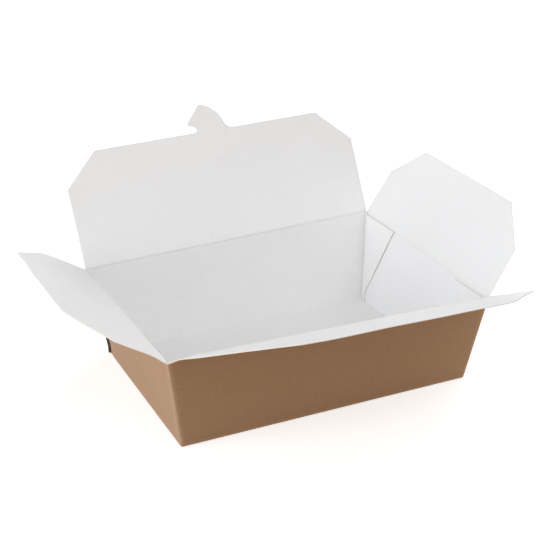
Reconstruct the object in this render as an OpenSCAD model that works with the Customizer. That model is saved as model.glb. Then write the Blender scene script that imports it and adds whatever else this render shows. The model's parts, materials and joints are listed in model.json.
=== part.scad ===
// Takeaway box folded from one sheet of board, kraft outside and white inside.
// A tapered tray with four flaps on its rim: a deep front flap with a slit, a back lid with a hook
// that locks into the slit, and two end flaps that close first, underneath.
// Origin: middle of the base's underside. X runs along the box, Y from front to back, Z up.

/* [Tray] */
// Length of the base
base_l = 197; // [180:1:206]
// Width of the base, front to back
base_w = 141; // [120:1:152]
// Length of the rim
rim_l = 216; // [208:1:250]
// Width of the rim, front to back
rim_w = 164; // [154:1:175]
// Height of the rim above the table
wall_h = 63; // [45:1:90]
// Thickness of the board
board_t = 0.5; // [0.35:0.05:0.7]
// How far each rim corner is racked up or down, as a folded tray sits once it is opened
racking = 2.4; // [0:0.2:3]
// How far the end rims lie under the long rims, so that the end flaps close underneath
end_drop = 0.8; // [0.8:0.1:2]

/* [Corner webs] */
// Layers of board in a folded web
web_layers = 2; // [1:1:3]
// How far the top of a web stays below the end rim
web_clear = 1.5; // [1:0.5:6]
// How far the back left corner has sprung open
sprung_w = 3.6; // [0.6:0.2:5]
// Height of the widest place of the sprung corner
sprung_h = 24; // [10:1:35]

/* [Back lid] */
// Depth of the lid from its crease to its free edge
lid_depth = 78; // [60:1:80]
// Length of the straight side before the corner is cut off
lid_side = 54; // [30:1:58]
// Width of the cut corner, along the free edge
lid_cut = 24; // [8:1:40]
// How far the lid stands open, from level outwards
lid_raise = 64.5; // [0:0.5:90]

/* [Hook] */
// How far the hook's peak reaches past the free edge
hook_reach = 19.4; // [17:0.2:22]
// Place of the peak, left or right of the lid's middle
hook_x = -3; // [-10:0.5:10]
// Radius of the hook's long curved back
hook_r = 21.8; // [20:0.2:24]
// Direction from that curve's centre to the peak
hook_lean = 76; // [70:1:82]
// Reach of the barb to the left of the peak
barb_reach = 11.5; // [10:0.5:14]
// Height of the barb's tip above the free edge
barb_h = 5.5; // [5:0.1:7]
// Radius of the barb's tip and of the peak
tip_r = 1.1; // [0.6:0.1:1.4]
// Radius of the notch under the barb
notch_r = 2; // [1.4:0.1:2.2]
// Depth of the notch under the barb
notch_depth = 6; // [4.5:0.5:8]
// Radius that blends the curve into the free edge
root_r = 6.5; // [4:0.5:9]

/* [Front flap] */
// Board between the slit and the free edge, which sets how deep the front flap is
slit_edge = 12; // [6:1:16]
// Length of the straight side before the corner is cut off
front_side = 54; // [30:1:66]
// Width of the cut corner, along the free edge
front_cut = 44; // [10:1:60]
// How far the flap's two ends curl up at the free edge
front_curl = 2.8; // [0:0.2:4]
// How far the front flap stands open, from level outwards
front_raise = 24.4; // [0:0.1:90]
// How much wider the slit is than the board that goes through it
slit_gap = 0.3; // [0.1:0.1:1]
// Play of the hook's neck along the slit
slit_play = 1; // [0.5:0.25:3]

/* [End flaps] */
// Depth of the end flaps from crease to free edge
end_depth = 59; // [40:1:80]
// Length of the side before the corner is cut off
end_side = 34; // [20:1:40]
// How far each side runs in from the crease to the cut corner
end_in = 2.5; // [2:0.5:8]
// Width of the cut corner, along the free edge
end_cut = 26; // [8:1:40]
// How far the left end flap stands open, from level outwards
left_raise = 31; // [0:0.5:90]
// How far the right end flap stands open, from level outwards
right_raise = 56; // [0:0.5:90]

/* [Creases] */
// Gap between a flap's edge and its crease line, and between a wall's top and that line
crease_gap = 0.2; // [0.15:0.05:0.4]
// How far an end flap's side stands in from the rim corner
end_inset = 1.2; // [1:0.1:3]
// How far a long flap's side stands in from the rim corner
long_inset = 0.7; // [0.6:0.1:3]

/* [Hidden] */

web_t = web_layers * board_t;
long_tilt = atan(2 * racking / rim_l);
end_tilt = atan(2 * racking / rim_w);
end_rim_z = wall_h - end_drop;
end_rim_x = base_l / 2 + (rim_l - base_l) / 2 * end_rim_z / wall_h;
notch_x = hook_x - barb_reach + notch_depth - notch_r;
slit_y = rim_w - lid_depth - notch_r;
front_depth = slit_y + slit_edge;
curl_steps = 24;
arc_steps = 10;
peak_c = [hook_x, hook_reach - tip_r];
tip_c = [hook_x - barb_reach + tip_r, barb_h + tip_r];
notch_c = [notch_x, notch_r];
back_c = peak_c - (hook_r - tip_r) * [cos(hook_lean), sin(hook_lean)];
root_c = [back_c[0] + sqrt(pow(hook_r + root_r, 2) - pow(root_r - back_c[1], 2)), root_r];
cut_margin = 5;
kraft = "#B29980";
back_left = [-1, 1];

// The four corners are named by their signs along X and Y.
// A point on the line from a base corner up to its racked rim corner, at height z, moved in by inset.
function rim_z(c) = wall_h + racking * c[0] * c[1];
function corner_at(c, z, inset = [0, 0]) =
    let (rise = z / rim_z(c))
    [c[0] * (base_l / 2 + (rim_l - base_l) / 2 * rise - inset[0]),
     c[1] * (base_w / 2 + (rim_w - base_w) / 2 * rise - inset[1]),
     z];

// Points of an arc round a centre, both ends included.
function arc(centre, r, from, to) =
    [for (i = [0:arc_steps]) let (a = from + (to - from) * i / arc_steps)
        [centre[0] + r * cos(a), centre[1] + r * sin(a)]];

function unit(v) = v / norm(v);

// A solid with eight corners: four round its lower side, then the four above them.
module block(p) {
    polyhedron(p, [[0, 1, 2], [0, 2, 3], [4, 6, 5], [4, 7, 6], [0, 5, 1], [0, 4, 5],
                   [1, 6, 2], [1, 5, 6], [2, 7, 3], [2, 6, 7], [3, 4, 0], [3, 7, 4]]);
}

// One leaning wall from corner a to corner b, anticlockwise round the tray.
// Its top is bevelled to the inside, where the board folds over at the crease.
// Its inner face reaches half a board into the two walls beside it.
module wall(a, b, drop) {
    top_a = rim_z(a) - drop - crease_gap;
    top_b = rim_z(b) - drop - crease_gap;
    inner = board_t * [a[0] == b[0] ? 1 : 0.5, a[1] == b[1] ? 1 : 0.5];
    block([corner_at(a, 0), corner_at(b, 0), corner_at(b, 0, inner), corner_at(a, 0, inner),
           corner_at(a, top_a), corner_at(b, top_b),
           corner_at(b, top_b - board_t, inner), corner_at(a, top_a - board_t, inner)]);
}

// The spare board at a corner, folded double and lying flat against the inside of the end wall.
// In the flat sheet it fills the gap between two wall panels, and its fold halves that gap.
module web(c) {
    foot = corner_at(c, 0);
    edge = corner_at(c, rim_z(c) - end_drop - web_clear) - foot;
    along_end = [0, -c[1], 0];
    along_long = [-c[0], 0, 0];
    gap_angle = 360 - 90 - acos(unit(edge) * along_end) - acos(unit(edge) * along_long);
    in_plane = unit(along_end - unit(edge) * (unit(edge) * along_end));
    fold = norm(edge) * cos(gap_angle / 2)
        * (unit(edge) * cos(gap_angle / 2) + in_plane * sin(gap_angle / 2));
    inward = [-c[0], 0, 0];
    middle = [0, -c[1], 0] * board_t / 2;
    outline = [foot, foot + edge, foot + fold];
    near = [for (p = outline) p + middle + inward * board_t / 2];
    far = [for (p = outline) p + middle + inward * (board_t + web_t)];
    hull() polyhedron(concat(near, far), [[0, 1, 2], [3, 5, 4], [0, 3, 4, 1], [1, 4, 5, 2], [2, 5, 3, 0]]);
}

// The two creases of a webbed corner spring apart between base and rim and leave a slender gap.
module sprung_gap(c) {
    low = corner_at(c, board_t);
    wide = corner_at(c, sprung_h);
    high = corner_at(c, rim_z(c) - end_drop - web_clear);
    in_x = [-c[0] * (board_t + web_t) * 0.8, 0, 0];
    in_y = [0, -c[1] * sprung_w, 0];
    out = [c[0], c[1], 0] * board_t;
    hull() polyhedron([low, wide + out, high, wide + in_x, wide + in_y + [c[0] * board_t, 0, 0]],
                      [[0, 1, 3], [0, 3, 4], [0, 4, 1], [2, 3, 1], [2, 4, 3], [2, 1, 4]]);
}

module tray() {
    color(kraft) difference() {
        union() {
            linear_extrude(board_t) square([base_l - board_t, base_w - board_t], center = true);
            wall([-1, -1], [1, -1], 0);
            wall([1, -1], [1, 1], end_drop);
            wall([1, 1], [-1, 1], 0);
            wall([-1, 1], [-1, -1], end_drop);
            for (x = [-1, 1]) for (y = [-1, 1]) web([x, y]);
        }
        sprung_gap(back_left);
    }
}

// Outline of a flap: X along its crease, Y out to its free edge.
function flap_outline(half, side_in, side, cut, depth) =
    [[-half, crease_gap], [half, crease_gap], [half - side_in, side], [half - side_in - cut, depth],
     [-half + side_in + cut, depth], [-half + side_in, side]];

// A flat flap with its crease edge bevelled on the white side, which faces up.
module flat_flap(half, side_in, side, cut, depth) {
    difference() {
        linear_extrude(board_t) union() {
            polygon(flap_outline(half, side_in, side, cut, depth));
            children();
        }
        crease_bevel(half);
    }
}

module crease_bevel(half) {
    translate([-half - cut_margin, crease_gap, 0]) rotate([-45, 0, 0])
        translate([0, -cut_margin, 0]) cube([2 * (half + cut_margin), cut_margin, 2 * cut_margin]);
}

// Stands a flap on its crease: turn picks the side of the tray, tilt follows the racked rim.
module on_crease(middle, turn, tilt, raise) {
    translate(middle) rotate([0, 0, turn]) rotate([0, tilt, 0]) rotate([raise, 0, 0]) children();
}

// Outline of the hook, with Y = 0 at the lid's free edge: the root blends into a long curved back,
// then the peak, a straight slanted front, the barb's round tip and the notch under the barb.
function hook_outline() =
    let (to_root = root_c - back_c,
         join = atan2(to_root[1], to_root[0]),
         slant = atan2(peak_c[1] - tip_c[1], peak_c[0] - tip_c[0]) + 90,
         under = atan2(notch_c[1] - tip_c[1], notch_c[0] - tip_c[0])
             + asin((tip_r + notch_r) / norm(notch_c - tip_c)))
    concat([[root_c[0], -board_t]],
           arc(root_c, root_r, 270, 180 + join),
           arc(back_c, hook_r, join, hook_lean),
           arc(peak_c, tip_r, hook_lean, slant),
           arc(tip_c, tip_r, slant, under + 270),
           arc(notch_c, notch_r, under + 90, -90),
           [[notch_x, -board_t]]);

module back_lid() {
    color(kraft) on_crease([0, rim_w / 2, wall_h], 0, -long_tilt, lid_raise)
        flat_flap(rim_l / 2 - long_inset, 0, lid_side, lid_cut, lid_depth)
            translate([0, lid_depth]) polygon(hook_outline());
}

// Height of the curled front flap over its flat sheet.
function curl_at(x, y) = front_curl * pow(2 * x / rim_l, 4) * y / front_depth;

// The front flap's sheet, curled up towards its two ends, wider than the outline it is cut to.
module curled_sheet() {
    columns = [for (i = [0:curl_steps]) (i / curl_steps - 0.5) * (rim_l + 2 * cut_margin)];
    sections = [for (x = columns) for (y = [0, front_depth + cut_margin], z = [0, board_t])
        [x, y, z + curl_at(x, y)]];
    last = 4 * curl_steps;
    strips = [for (i = [0:curl_steps - 1]) let (a = 4 * i, b = 4 * (i + 1))
        each [[a, b + 2, a + 2], [a, b, b + 2], [a + 1, b + 3, b + 1], [a + 1, a + 3, b + 3],
              [a, b + 1, b], [a, a + 1, b + 1], [a + 2, b + 3, a + 3], [a + 2, b + 2, b + 3]]];
    polyhedron(sections, concat([[0, 3, 1], [0, 2, 3], [last, last + 3, last + 2],
                                 [last, last + 1, last + 3]], strips));
}

// The slit takes the hook's neck when the lid lies closed over the front flap.
module slit() {
    neck_l = notch_x + notch_r;
    neck_r = root_c[0] - sqrt(pow(root_r, 2) - pow(root_r - notch_r, 2));
    reach = (neck_r - neck_l) / 2 + slit_play;
    // This flap is drawn facing the other way, so left and right change places.
    translate([-(neck_l + neck_r) / 2, slit_y]) hull()
        for (side = [-1, 1]) translate([side * reach, 0]) circle(d = board_t + slit_gap, $fn = 24);
}

module front_flap() {
    color(kraft) on_crease([0, -rim_w / 2, wall_h], 180, -long_tilt, front_raise)
        difference() {
            intersection() {
                curled_sheet();
                linear_extrude(4 * cut_margin, center = true) difference() {
                    polygon(flap_outline(rim_l / 2 - long_inset, 0, front_side, front_cut, front_depth));
                    slit();
                }
            }
            crease_bevel(rim_l / 2);
        }
}

module end_flap(side, raise) {
    color(kraft) on_crease([side * end_rim_x, 0, end_rim_z], -90 * side, end_tilt, raise)
        flat_flap(rim_w / 2 - end_inset, end_in - end_inset, end_side, end_cut, end_depth);
}

module left_flap() {
    end_flap(-1, left_raise);
}

module right_flap() {
    end_flap(1, right_raise);
}

tray();
back_lid();
front_flap();
left_flap();
right_flap();
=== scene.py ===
import json
import math
from collections import namedtuple

import bpy
import numpy as np
from mathutils import Matrix, Vector


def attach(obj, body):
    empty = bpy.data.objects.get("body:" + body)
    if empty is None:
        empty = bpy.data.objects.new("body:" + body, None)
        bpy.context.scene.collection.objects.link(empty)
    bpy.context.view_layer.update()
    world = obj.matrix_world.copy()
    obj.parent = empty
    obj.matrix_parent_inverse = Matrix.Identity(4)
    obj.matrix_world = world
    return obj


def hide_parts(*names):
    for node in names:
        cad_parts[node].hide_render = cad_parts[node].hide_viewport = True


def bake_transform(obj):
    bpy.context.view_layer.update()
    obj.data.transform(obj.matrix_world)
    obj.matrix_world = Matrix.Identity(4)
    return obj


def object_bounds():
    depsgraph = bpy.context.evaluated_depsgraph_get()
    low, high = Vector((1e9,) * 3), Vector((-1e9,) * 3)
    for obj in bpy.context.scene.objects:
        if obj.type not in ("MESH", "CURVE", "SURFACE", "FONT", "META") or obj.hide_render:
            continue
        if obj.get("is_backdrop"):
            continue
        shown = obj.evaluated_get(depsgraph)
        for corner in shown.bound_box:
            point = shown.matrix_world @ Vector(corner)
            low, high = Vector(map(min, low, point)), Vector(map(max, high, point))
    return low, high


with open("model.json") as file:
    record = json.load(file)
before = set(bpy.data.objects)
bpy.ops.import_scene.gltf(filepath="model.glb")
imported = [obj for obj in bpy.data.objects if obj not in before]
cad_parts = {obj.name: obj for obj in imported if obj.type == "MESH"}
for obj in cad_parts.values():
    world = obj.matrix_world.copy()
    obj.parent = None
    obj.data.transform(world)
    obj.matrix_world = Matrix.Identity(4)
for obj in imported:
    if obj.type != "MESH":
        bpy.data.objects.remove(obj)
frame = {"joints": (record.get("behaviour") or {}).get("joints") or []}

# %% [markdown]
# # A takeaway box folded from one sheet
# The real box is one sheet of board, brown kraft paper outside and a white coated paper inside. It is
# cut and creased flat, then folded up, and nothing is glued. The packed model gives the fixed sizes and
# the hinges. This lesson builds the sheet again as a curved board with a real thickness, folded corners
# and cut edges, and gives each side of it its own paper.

cad_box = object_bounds()
MM = 0.001
print("packed model, low and high corner:", [tuple(round(v, 4) for v in c) for c in cad_box])

# %% [markdown]
# ## Sizes
# Every size is the real one in millimetres. The rim and the height come from the packed hinges, so the
# looks follow the solids. The small values, such as the gap between two layers of a folded corner, are
# what such board does when it is creased and pressed flat.

# %% Sizes in millimetres
hinges = {j["child"]: j for j in frame["joints"]}
RIM_W = 2 * hinges["back_lid"]["pos_m"][1] / MM
WALL_H = hinges["back_lid"]["pos_m"][2] / MM
END_DROP = WALL_H - hinges["left_flap"]["pos_m"][2] / MM
BASE_L, BASE_W, RIM_L = 197.0, 141.0, 216.0
RACK = hinges["back_lid"]["axis"][2] / hinges["back_lid"]["axis"][0] * RIM_L / 2
BOARD = 0.5
HALF = BOARD / 2
print("rim", RIM_L, "x", RIM_W, "height", WALL_H, "racked by", round(RACK, 2))

# %% [markdown]
# ## From a flat net to a thick board
# A sheet is easiest to shape as one surface in the middle of its thickness. The helpers below take that
# middle surface, find its normals, and lay one skin on each side: kraft on the outside, white on the inside.
# Along every free border they close the sheet with a cut edge whose two arrises are softened a little,
# because a die presses the board before it shears it. A Solidify modifier could give the thickness too, but
# not the softened arrises. Each point also carries its place in the flat sheet, so that the grain of the
# paper runs on over a fold as it does in a real box. It also carries how much it is scuffed, and where that
# value is negative, how much painted shade darkens it.

# %% A net: the middle surface of the board
class Net:
    """A middle surface in mm: points, their place in the flat sheet, their wear and painted shade, and faces.
    """

    def __init__(self):
        self.points, self.flat, self.scuff, self.seam, self.pale, self.faces = [], [], [], [], [], []

    def add(self, point, flat, scuff=0.0, seam=False, pale=False):
        self.points.append(np.array(point, float))
        self.flat.append((float(flat[0]), float(flat[1])))
        self.scuff.append(float(scuff))
        self.seam.append(seam)
        self.pale.append(pale)
        return len(self.points) - 1

    def face(self, *corners):
        ring = [v for i, v in enumerate(corners) if v != corners[i - 1]]
        if len(ring) >= 3:
            self.faces.append(ring)


print("a net carries", list(vars(Net())))


# %% Normals and free borders
def point_normals(points, faces):
    """The mean normal of the faces round each point."""
    normals = np.zeros_like(points)
    for face in faces:
        p = points[face]
        sides = (p[2] - p[0], p[3] - p[1]) if len(face) == 4 else (p[1] - p[0], p[2] - p[0])
        cross = np.cross(*sides)
        size = np.linalg.norm(cross)
        if size > 1e-9:
            normals[face] += cross / size
    return normals / np.maximum(np.linalg.norm(normals, axis=1, keepdims=True), 1e-12)


def free_borders(faces):
    """The edges that only one face has, in that face's direction."""
    edges = set()
    for face in faces:
        edges.update(zip(face, face[1:] + face[:1]))
    return sorted(e for e in edges if (e[1], e[0]) not in edges)


square = np.array([(0, 0, 0), (1, 0, 0), (1, 1, 0), (0, 1, 0)], float)
print("a square: normal", point_normals(square, [[0, 1, 2, 3]])[0], "borders", free_borders([[0, 1, 2, 3]]))

# %% Values and helpers of a board
KRAFT, WHITE, EDGE = 0, 1, 2
CUT_SOFT = 0.07
PLY_LEVELS = (0, 1, 0.15, 0.85)
PALE_PLY = 0.7


def new_object(name, data):
    made = bpy.data.objects.new(name, data)
    bpy.context.scene.collection.objects.link(made)
    return made


def add_attribute(mesh, key, kind, values):
    field = "vector" if kind == "FLOAT_VECTOR" else "value"
    mesh.attributes.new(key, kind, "POINT").data.foreach_set(field, values.astype(np.float32).ravel())


print("board", BOARD, "mm thick, its cut edges softened by", CUT_SOFT, "mm")


# %% From a net to a board with two papers and a cut edge
def make_board(name, net):
    """A closed board piece from a net whose faces turn anticlockwise seen from the kraft side."""
    middle, n = np.array(net.points), len(net.points)
    normal = point_normals(middle, net.faces)
    borders = free_borders(net.faces)
    outward = np.zeros_like(middle)
    for a, b in borders:
        if not (net.seam[a] and net.seam[b]):
            across = np.cross(middle[b] - middle[a], normal[a] + normal[b])
            outward[[a, b]] += across / max(np.linalg.norm(across), 1e-12)
    size = np.linalg.norm(outward, axis=1, keepdims=True)
    outward = np.where(size > 1e-6, outward / np.maximum(size, 1e-6), 0)
    # The two skins, and the two softened arrises a little inside them
    points = np.concatenate([middle + normal * HALF - outward * CUT_SOFT,
                             middle - normal * HALF - outward * CUT_SOFT,
                             middle + normal * (HALF - CUT_SOFT), middle - normal * (HALF - CUT_SOFT)])
    faces, slots = [], []
    for face in net.faces:
        faces += [list(face), [v + n for v in reversed(face)]]
        slots += [KRAFT, WHITE]
    for a, b in borders:
        levels = (0, 1) if net.seam[a] and net.seam[b] else (0, 2, 3, 1)
        for upper, lower in zip(levels, levels[1:]):
            faces.append([b + upper * n, a + upper * n, a + lower * n, b + lower * n])
            slots.append(EDGE)
    used = sorted({v for f in faces for v in f})
    place = {v: i for i, v in enumerate(used)}
    mesh = bpy.data.meshes.new(name)
    mesh.from_pydata((points[used] * MM).tolist(), [], [[place[v] for v in f] for f in faces])
    mesh.update()
    mesh.polygons.foreach_set("material_index", slots)
    mesh.polygons.foreach_set("use_smooth", [s != EDGE for s in slots])
    ply = np.repeat(PLY_LEVELS, n)
    ply = np.where(np.tile(net.pale, 4), PALE_PLY + (1 - PALE_PLY) * ply, ply)[used]
    add_attribute(mesh, "ply", "FLOAT", ply)
    add_attribute(mesh, "scuff", "FLOAT", np.tile(net.scuff, 4)[used])
    flat = np.tile(net.flat, (4, 1))[used] * MM
    add_attribute(mesh, "sheet", "FLOAT_VECTOR", np.column_stack([flat, ply * BOARD * MM]))
    print(name, len(mesh.vertices), "points", len(faces), "faces", len(borders), "border edges")
    return new_object(name, mesh)


# %% [markdown]
# ## The tray and its folded corners
# Walk round the tray at one height and the sheet makes a path: along the front wall, round the corner,
# in along the inside of the end wall, back on itself twice, and on along the end wall. The spare board
# of each corner is that double fold. Seen from inside it is a triangle whose slanting edge is a soft
# fold, and seen from outside two rounded folds stand side by side. It could be four plates and four
# loose webs, but then their edges would show. So the path is a function of the height, it is laid at
# many heights, and the rows together make one net. The same function serves all four corners, each with
# its own height, because the open rim is slightly racked.

# %% The lines of the tray
WEB_CLEAR, LAYER_GAP = 1.5, 0.07
LAYER = BOARD + LAYER_GAP
CORNERS = [(-1, -1), (1, -1), (1, 1), (-1, 1)]
LEAN_LONG = math.hypot(WALL_H, (RIM_W - BASE_W) / 2) / WALL_H
LEAN_END = math.hypot(WALL_H, (RIM_L - BASE_L) / 2) / WALL_H


def rim_z(c):
    return WALL_H + RACK * c[0] * c[1]


def web_top(c):
    return rim_z(c) - END_DROP - WEB_CLEAR


def corner_at(c, z):
    rise = z / rim_z(c)
    return np.array([c[0] * (BASE_L + (RIM_L - BASE_L) * rise) / 2,
                     c[1] * (BASE_W + (RIM_W - BASE_W) * rise) / 2, z])


def unit(v):
    return v / np.linalg.norm(v)


def smooth_step(x):
    x = min(max(x, 0.0), 1.0)
    return x * x * (3 - 2 * x)


print("the webs end at", [round(web_top(c), 1) for c in CORNERS], "mm over the table")


# %% The slanting fold of a web
def fold_slope(c):
    """From the top of a corner line to the far end of the web's fold, at the same height."""
    edge = corner_at(c, web_top(c)) - corner_at(c, 0)
    along_end, along_long = np.array([0, -c[1], 0.0]), np.array([-c[0], 0, 0.0])
    up = unit(edge)
    gap_angle = 1.5 * math.pi - math.acos(up @ along_end) - math.acos(up @ along_long)
    in_plane = unit(along_end - up * (up @ along_end))
    fold = up * math.cos(gap_angle / 2) + in_plane * math.sin(gap_angle / 2)
    return fold * edge[2] / fold[2] - edge


print("the webs reach in by", [round(float(np.linalg.norm(fold_slope(c))), 1) for c in CORNERS])

# %% A corner that has sprung open
SPRUNG = (-1, 1)
GROOVE_DEEP = 5.0


def spring(c, z):
    """How far the long wall's turn and the end wall's fold stand off, and how much the web is a groove."""
    if c != SPRUNG:
        return np.zeros(3), np.zeros(3), 0.0
    # It opens over the lowest 5 mm and is shut again at 33 mm; the groove ends at 25 mm.
    opens, fade = smooth_step(z / 5), 1 - smooth_step((z - 13) / 20)
    turn = np.array([-math.exp(-(z / 4) ** 2), 0.25, 0])
    fold = np.array([0.25 + 0.75 * (opens * fade), -0.4 - min(0.35 * z, 2.8) * fade, 0])
    return turn, fold, opens * (1 - smooth_step((z - 12) / 13))


def open_groove(path, slope, inward, groove):
    """Draws the web of a path into a V between its two walls, by a share from 0 to 1."""
    web = [i for i, (_, kind) in enumerate(path) if kind == "web"]
    first, last = path[web[0] - 1][0], path[web[-1] + 1][0]
    spare = slope @ slope - (last - first) @ (last - first) / 4
    deep = min(math.sqrt(max(spare, (3.5 * groove) ** 2)), GROOVE_DEEP)
    apex = (first + last) / 2 + inward * deep
    for n, i in enumerate(web):
        part = 2 * (n + 1) / (len(web) + 1)
        straight = first + (apex - first) * part if part < 1 else apex + (last - apex) * (part - 1)
        path[i] = (path[i][0] * (1 - groove) + straight * groove, "web")


def painted_groove_shade(i, kind, z):
    """Painted shade for the sprung corner's groove: a dark colour stands in for the shade of its deep
    crevice, -1 where it is darkest.
    """
    inside = {"turn": (0, 0, 0, 0.5, 1, 1, 1, 1, 1), "fold": (1, 1, 1, 0.5, 0, 0, 0)}.get(kind)
    return -(1 - smooth_step((z - 14) / 12)) * (inside[i] if inside else 1)


print("the sprung fold at 10 mm stands off by", np.round(spring(SPRUNG, 10)[1], 2))

# %% The path of the sheet round a corner
TURN_R, TURN_IN, TURN_ANGLE = 1.15, 1.2, 150
TURN_STEPS, WEB_STEPS, FOLD_STEPS = 8, 10, 6
NOSE_IN, FAR_OFF, LEAST_REACH = 2.15, 1.6, 4.6
CLOSER = 1.3  # points lie closer together towards the corner


def corner_path(c, z):
    """Middle points from the long wall to the end wall at one height, and what each belongs to."""
    share = min(z / web_top(c), 1)
    along_long, along_end = np.array([-c[0], 0, 0.0]), np.array([0, -c[1], 0.0])
    start, slope = corner_at(c, z), fold_slope(c) * share
    slope = slope + along_end * max(LEAST_REACH - slope @ along_end, 0)
    sprung_turn, sprung_fold, groove = spring(c, z)
    path = []

    def put(kind, x, y, shift=0):
        path.append((start + along_long * x + along_end * y + shift, kind))

    # The long wall turns the corner and curls in a little behind its own round
    turn_r, fold_r = TURN_R - HALF, LAYER / 2
    for i in range(TURN_STEPS + 1):
        a = math.radians(270 - TURN_ANGLE * i / TURN_STEPS)
        put("turn", TURN_IN + turn_r * math.cos(a), TURN_R + turn_r * math.sin(a), sprung_turn)
    # then it runs in along the end wall, folds back flat on itself, and returns to the corner.
    # The turn ends at 120 degrees, whose cosine is -0.5 and whose sine is 0.87.
    web_x, first_x, first_y = 2 * LAYER + HALF, TURN_IN - 0.5 * turn_r, TURN_R + 0.87 * turn_r
    far_y, recess = NOSE_IN + FAR_OFF, sprung_fold @ along_long * along_long
    for x, y in ((0.72, 0.28), (0.93, 0.62)):
        put("web", first_x + (web_x - TURN_IN + 0.5 * turn_r) * x, first_y + y,
            sprung_turn * (1 - y) ** 2 + recess * x)
    for i in range(1, WEB_STEPS):
        v = (i / WEB_STEPS) ** CLOSER
        put("web", web_x, far_y * (1 - v), slope * v + recess * (1 - v))
    for i in range(FOLD_STEPS + 1):
        a = math.pi * i / FOLD_STEPS
        put("web", 2 * LAYER - LAYER_GAP / 2 + fold_r * math.cos(a),
            fold_r * math.sin(a) * min(1, share * 12), slope)
    nose_y = NOSE_IN + fold_r + HALF
    for i in range(1, WEB_STEPS):
        v = 1 - (i / WEB_STEPS) ** (1 / CLOSER)
        put("web", LAYER + HALF, nose_y * (1 - v), slope * v + sprung_fold * (1 - v) ** 3)
    # and turns once more into the end wall.
    for i in range(FOLD_STEPS + 1):
        a = -math.pi * i / FOLD_STEPS
        put("fold", LAYER - LAYER_GAP / 2 + fold_r * math.cos(a), nose_y + fold_r * math.sin(a), sprung_fold)
    if groove > 0:
        open_groove(path, slope, unit(along_long + 0.7 * along_end), groove)
    return path


print("points round a corner:", len(corner_path(SPRUNG, 20)))

# %% The outlines of the flaps
Flap = namedtuple("Flap", "half lean side cut depth")
LONG_HALF = RIM_L / 2 - 0.7
front_shape = Flap(LONG_HALF, lean=2.6, side=54.0, cut=44.0 - 2.6, depth=96.0)
lid_shape = Flap(LONG_HALF + 0.3, lean=-0.35, side=54.0, cut=24.0, depth=77.5)
end_shape = Flap(RIM_W / 2 - 1.2, lean=1.3, side=34.0, cut=26.0, depth=59.0)


def half_at(shape, y):
    """Half the length of a flap at y from its crease: its sides lean a little, then its corners are cut."""
    if y <= shape.side:
        return shape.half - shape.lean * y / shape.side
    return shape.half - shape.lean - shape.cut * (y - shape.side) / (shape.depth - shape.side)


def corners_of(shape):
    shoulder, free_end = shape.half - shape.lean, shape.half - shape.lean - shape.cut
    return [(a * x, y) for x, y in ((shoulder, shape.side), (free_end, shape.depth)) for a in (-1, 1)]


print("corners of the lid:", np.round(corners_of(lid_shape), 1).tolist())

# %% Columns of the four walls, shared by the base and the flaps
NOTCH_X, ROOT_X, SLIT_Y, SLIT_END = -10.5, 19.05, 84.0, 15.4
lid_end = lid_shape.half - lid_shape.lean - lid_shape.cut
HOOK_A, HOOK_B = NOTCH_X / lid_end, ROOT_X / lid_end
SLIT_B = SLIT_END / half_at(front_shape, SLIT_Y)
LONG_COLUMNS = np.concatenate([
    [-1, -0.993], np.linspace(-0.98, HOOK_A - 0.03, 28), [HOOK_A],
    np.linspace(HOOK_A + 0.005, SLIT_B - 0.005, 14), [SLIT_B, HOOK_B],
    np.linspace(HOOK_B + 0.03, 0.98, 26), [0.993, 1]])
END_COLUMNS = np.concatenate([[-1, -0.99], np.linspace(-0.975, 0.975, 43), [0.99, 1]])
print("columns", len(LONG_COLUMNS), "and", len(END_COLUMNS))

# %% Unevenness of real board
PRESSED = 2.1


def ripple(a, b, seed):
    """A slow unevenness of the board between -1 and 1."""
    wide = math.sin(a * 2.1 + seed) * math.cos(b * 1.7 + 2 * seed)
    return (wide + 0.6 * math.sin(a * 4.3 + b * 3.1 + 3 * seed)) / 1.6


def tip_dip(point):
    """The rim's front left corner is pressed down a little, and the root of the front flap with it."""
    away = np.array(point) - (-RIM_L / 2, -RIM_W / 2, WALL_H + RACK)
    away /= (6 if away[0] < 0 else 9, 14 if away[1] < 0 else 3, 12)
    return -PRESSED * math.exp(-away @ away)


print("front left corner pressed down by", PRESSED, "mm")

# %% The sheet round one corner
OUTWARD = [np.array(way) for way in ((0, -1, 0), (1, 0, 0), (0, 1, 0), (-1, 0, 0))]
PLACES = [LONG_COLUMNS, END_COLUMNS, -LONG_COLUMNS[::-1], -END_COLUMNS[::-1]]
WALL_WAVE, SPRING_REACH = 0.28, 7


def wall_flat(k, point, rise):
    """Where a point of wall k lies in the flat sheet; rise is its height over the base."""
    if k % 2 == 0:
        return point[0], (-1 if k == 0 else 1) * (BASE_W / 2 + rise * LEAN_LONG)
    return (1 if k == 1 else -1) * (BASE_L / 2 + rise * LEAN_END), point[1]


def corner_row(k, height_of):
    """Points, kinds and heights round corner k, in the ring's direction."""
    c = CORNERS[k]
    heights = {kind: height_of(c, kind) for kind in ("turn", "web", "fold")}
    paths = {kind: corner_path(c, z) for kind, z in heights.items()}
    row = [(paths[kind][i][0], kind, heights[kind]) for i, (_, kind) in enumerate(paths["turn"])]
    return row if k % 2 else row[::-1]


print("heights round corner 1:", {kind: z for _, kind, z in corner_row(1, lambda c, kind: 30)})


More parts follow.
